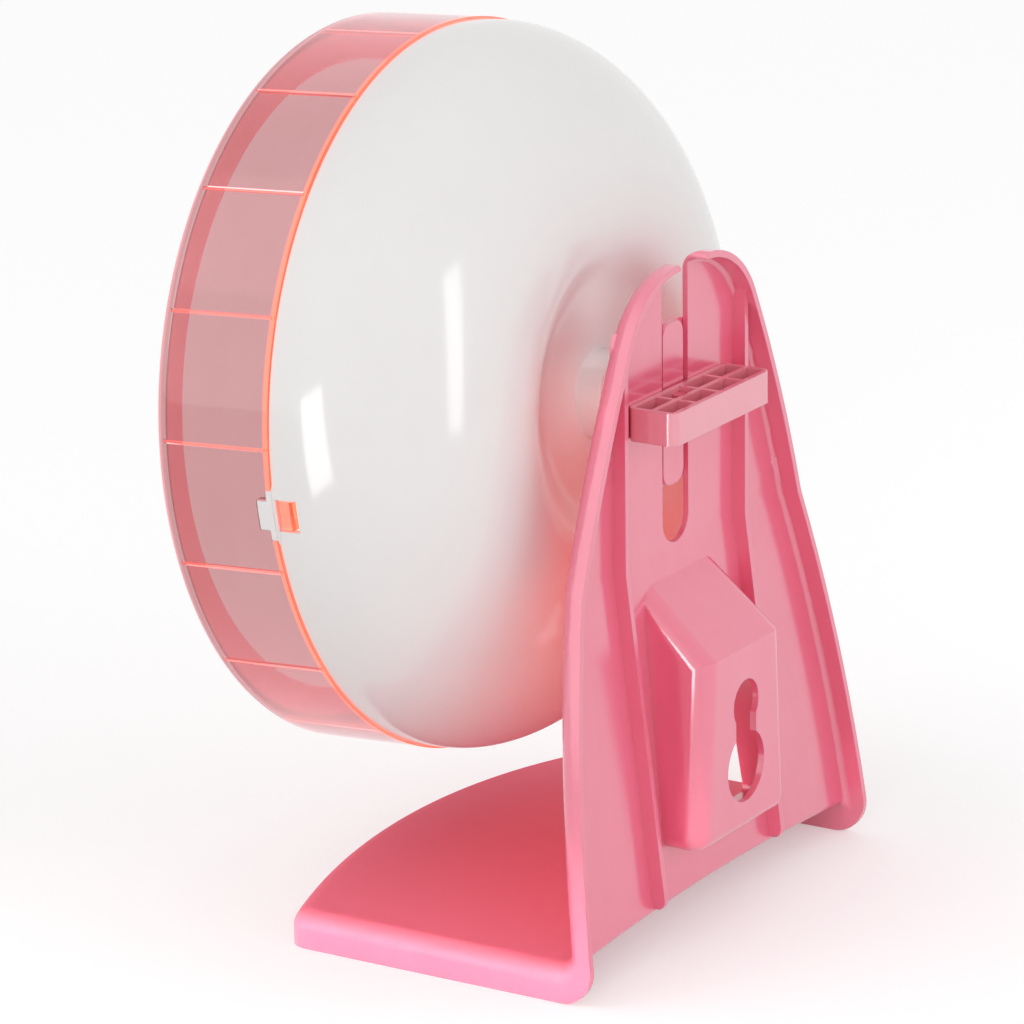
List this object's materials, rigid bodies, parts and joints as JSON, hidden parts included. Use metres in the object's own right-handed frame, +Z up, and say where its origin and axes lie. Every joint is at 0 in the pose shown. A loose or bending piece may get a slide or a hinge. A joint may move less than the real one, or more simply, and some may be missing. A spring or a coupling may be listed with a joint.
{
  "type": "rodent exercise wheel",
  "caption": "Upright rodent exercise wheel: a dished drum and clear running ring on a bearing axle, which slides and clamps in the slot of a one-piece L-shaped stand.",
  "frame": {"origin": "on the floor, under the middle of the outline", "axes": "+Z up, +Y from the open front of the wheel towards the back plate, +X to the side"},
  "size_m": [0.21, 0.1334, 0.2522],
  "materials": {
    "pink_plastic": "glossy moulded",
    "white_plastic": "glossy moulded",
    "clear_pink_plastic": "see-through, tinted",
    "steel": "bright",
    "cage_plastic": "matt"
  },
  "bodies": {
    "stand_body": {"stand": "pink_plastic"},
    "carriage_body": {"axle_carriage": "pink_plastic", "clamp_block": "pink_plastic", "axle_pin": "steel", "axle_washer": "steel", "axle_screw": "steel", "bearing_inner_race": "steel"},
    "ball_train": {"bearing_balls": "steel", "bearing_cage": "cage_plastic"},
    "wheel_body": {"wheel_bowl": "white_plastic", "running_ring": "clear_pink_plastic", "hub_cap": "white_plastic", "bearing_outer_race": "steel", "bearing_shield_rear": "steel", "bearing_shield_front": "steel"}
  },
  "joints": [
    {"name": "carriage_slide", "type": "slide", "parent": "stand_body", "child": "carriage_body", "axis": [0, 0, 1], "range_m": [-0.0155, 0.0255]},
    {"name": "wheel_spin", "type": "hinge", "parent": "carriage_body", "child": "wheel_body", "pos_m": [0, -0.02275, 0.1474], "axis": [0, 0.9984, 0.0567], "continuous": true},
    {"name": "ball_orbit", "type": "hinge", "parent": "carriage_body", "child": "ball_train", "pos_m": [0, -0.02275, 0.1474], "axis": [0, 0.9984, 0.0567], "continuous": true}
  ],
  "couplings": [
    {"joint": "ball_orbit", "follows": "wheel_spin", "ratio": 0.6301}
  ]
}
